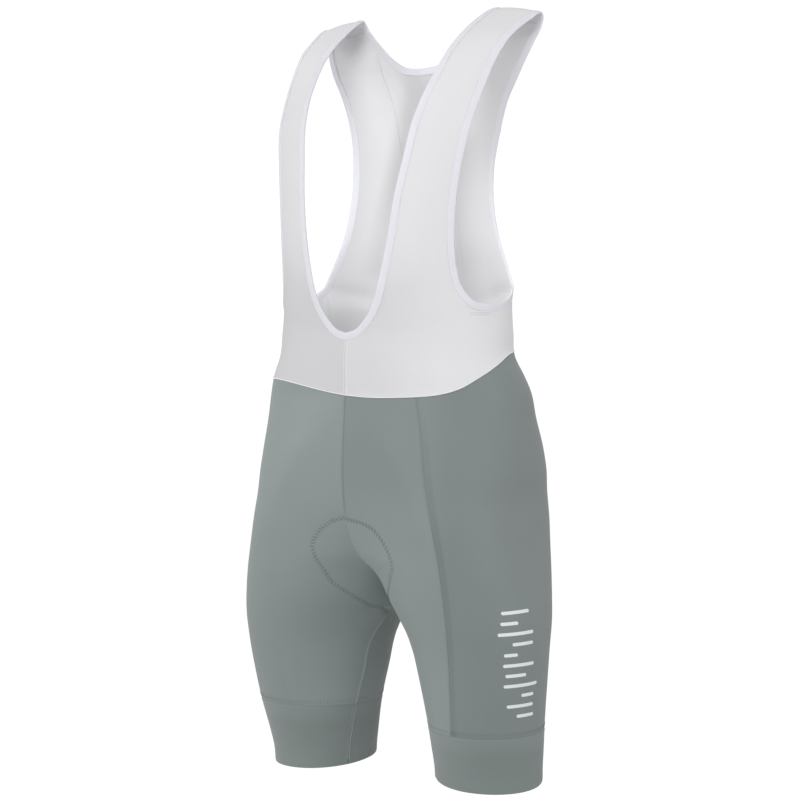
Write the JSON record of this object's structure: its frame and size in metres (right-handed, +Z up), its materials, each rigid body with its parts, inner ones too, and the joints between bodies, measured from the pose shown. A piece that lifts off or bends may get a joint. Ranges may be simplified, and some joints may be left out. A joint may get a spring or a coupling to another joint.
{
  "type": "cycling bib shorts",
  "caption": "Cycling bib shorts with a low-cut white knit bib, wide shoulder straps, grey-green stretch shorts, leg bands and a seat pad, shaped as worn.",
  "frame": {"origin": "on the shoulder line, midway between the tops of the two straps, where the shoulders carry the garment", "axes": "+Z up, +X the wearer's left, -Y the front"},
  "size_m": [0.3828, 0.2662, 0.9066],
  "materials": {
    "knit": "fine matte knit",
    "binding": "smooth folded elastic binding",
    "stretch": "smooth satin stretch cloth",
    "band": "fine ribbed gripper band",
    "pad": "brushed foam pad"
  },
  "bodies": {
    "root": {"bib_front_left": "knit", "bib_front_right": "knit", "bib_back_side_left": "knit", "bib_back_side_right": "knit", "bib_back_centre": "knit", "neck_binding": "binding", "armhole_binding_left": "binding", "armhole_binding_right": "binding", "shorts_front_left": "stretch", "shorts_front_right": "stretch", "shorts_side_left": "stretch", "shorts_side_right": "stretch", "shorts_back_left": "stretch", "shorts_back_right": "stretch", "leg_band_left": "band", "leg_band_right": "band", "seat_pad": "pad"}
  },
  "joints": []
}
